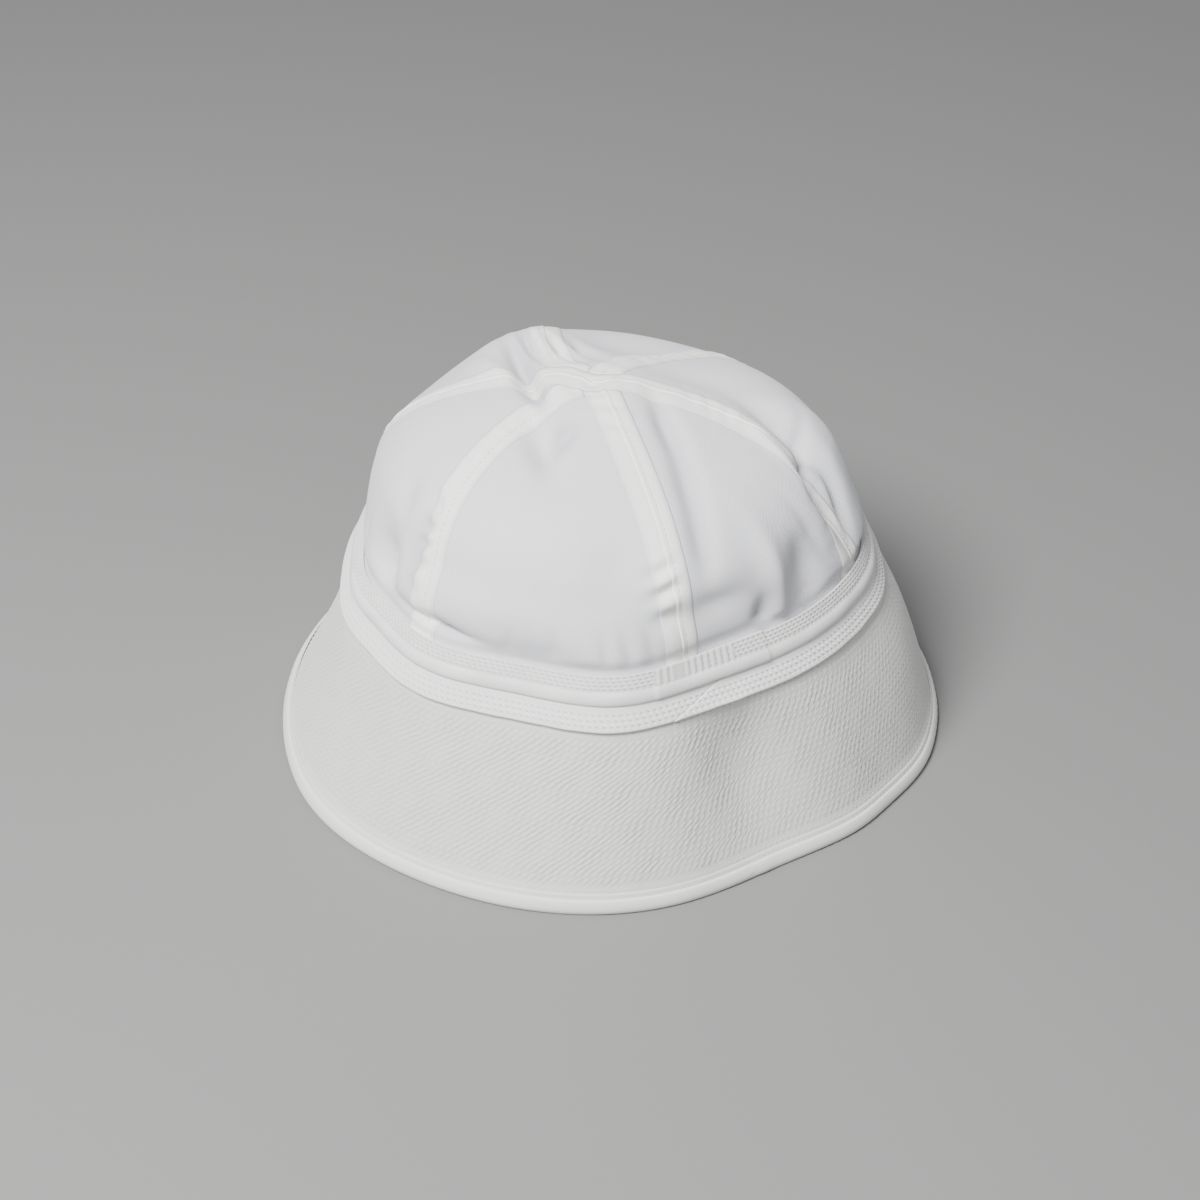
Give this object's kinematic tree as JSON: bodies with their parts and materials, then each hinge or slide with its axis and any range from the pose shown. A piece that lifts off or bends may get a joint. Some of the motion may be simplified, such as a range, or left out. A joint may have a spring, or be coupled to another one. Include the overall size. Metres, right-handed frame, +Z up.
{
  "type": "sailor cap",
  "caption": "White cotton sailor cap with a rounded gored crown, a stitched band and a stiff turned-down brim with a bound edge.",
  "frame": {"origin": "on the surface that the rim rests on, under the middle of the rim", "axes": "+Z up through the crown, -Y towards the front of the cap, +X to the right seen from the front"},
  "size_m": [0.256, 0.2516, 0.1454],
  "materials": {
    "crown_cloth": "thin plain-weave cotton, cool white, matt",
    "seam_tape": "folded seam cloth with rows of stitches, warm white, matt",
    "band_cloth": "folded strips with close rows of stitches, warm white, matt",
    "brim_drill": "two plies of stiff drill, puckered by concentric rows of stitches",
    "binding_cloth": "smooth rolled binding, warm white, matt"
  },
  "bodies": {
    "root": {"brim": "brim_drill", "brim_binding": "binding_cloth", "band_lower": "band_cloth", "band_upper": "band_cloth", "crown_panel_front": "crown_cloth", "crown_panel_front_right": "crown_cloth", "crown_panel_back_right": "crown_cloth", "crown_panel_back": "crown_cloth", "crown_panel_back_left": "crown_cloth", "crown_panel_front_left": "crown_cloth", "crown_seam_front_left": "seam_tape", "crown_seam_front_right": "seam_tape", "crown_seam_back_right": "seam_tape", "crown_seam_back_left": "seam_tape", "crown_seam_cross": "seam_tape"}
  },
  "joints": []
}
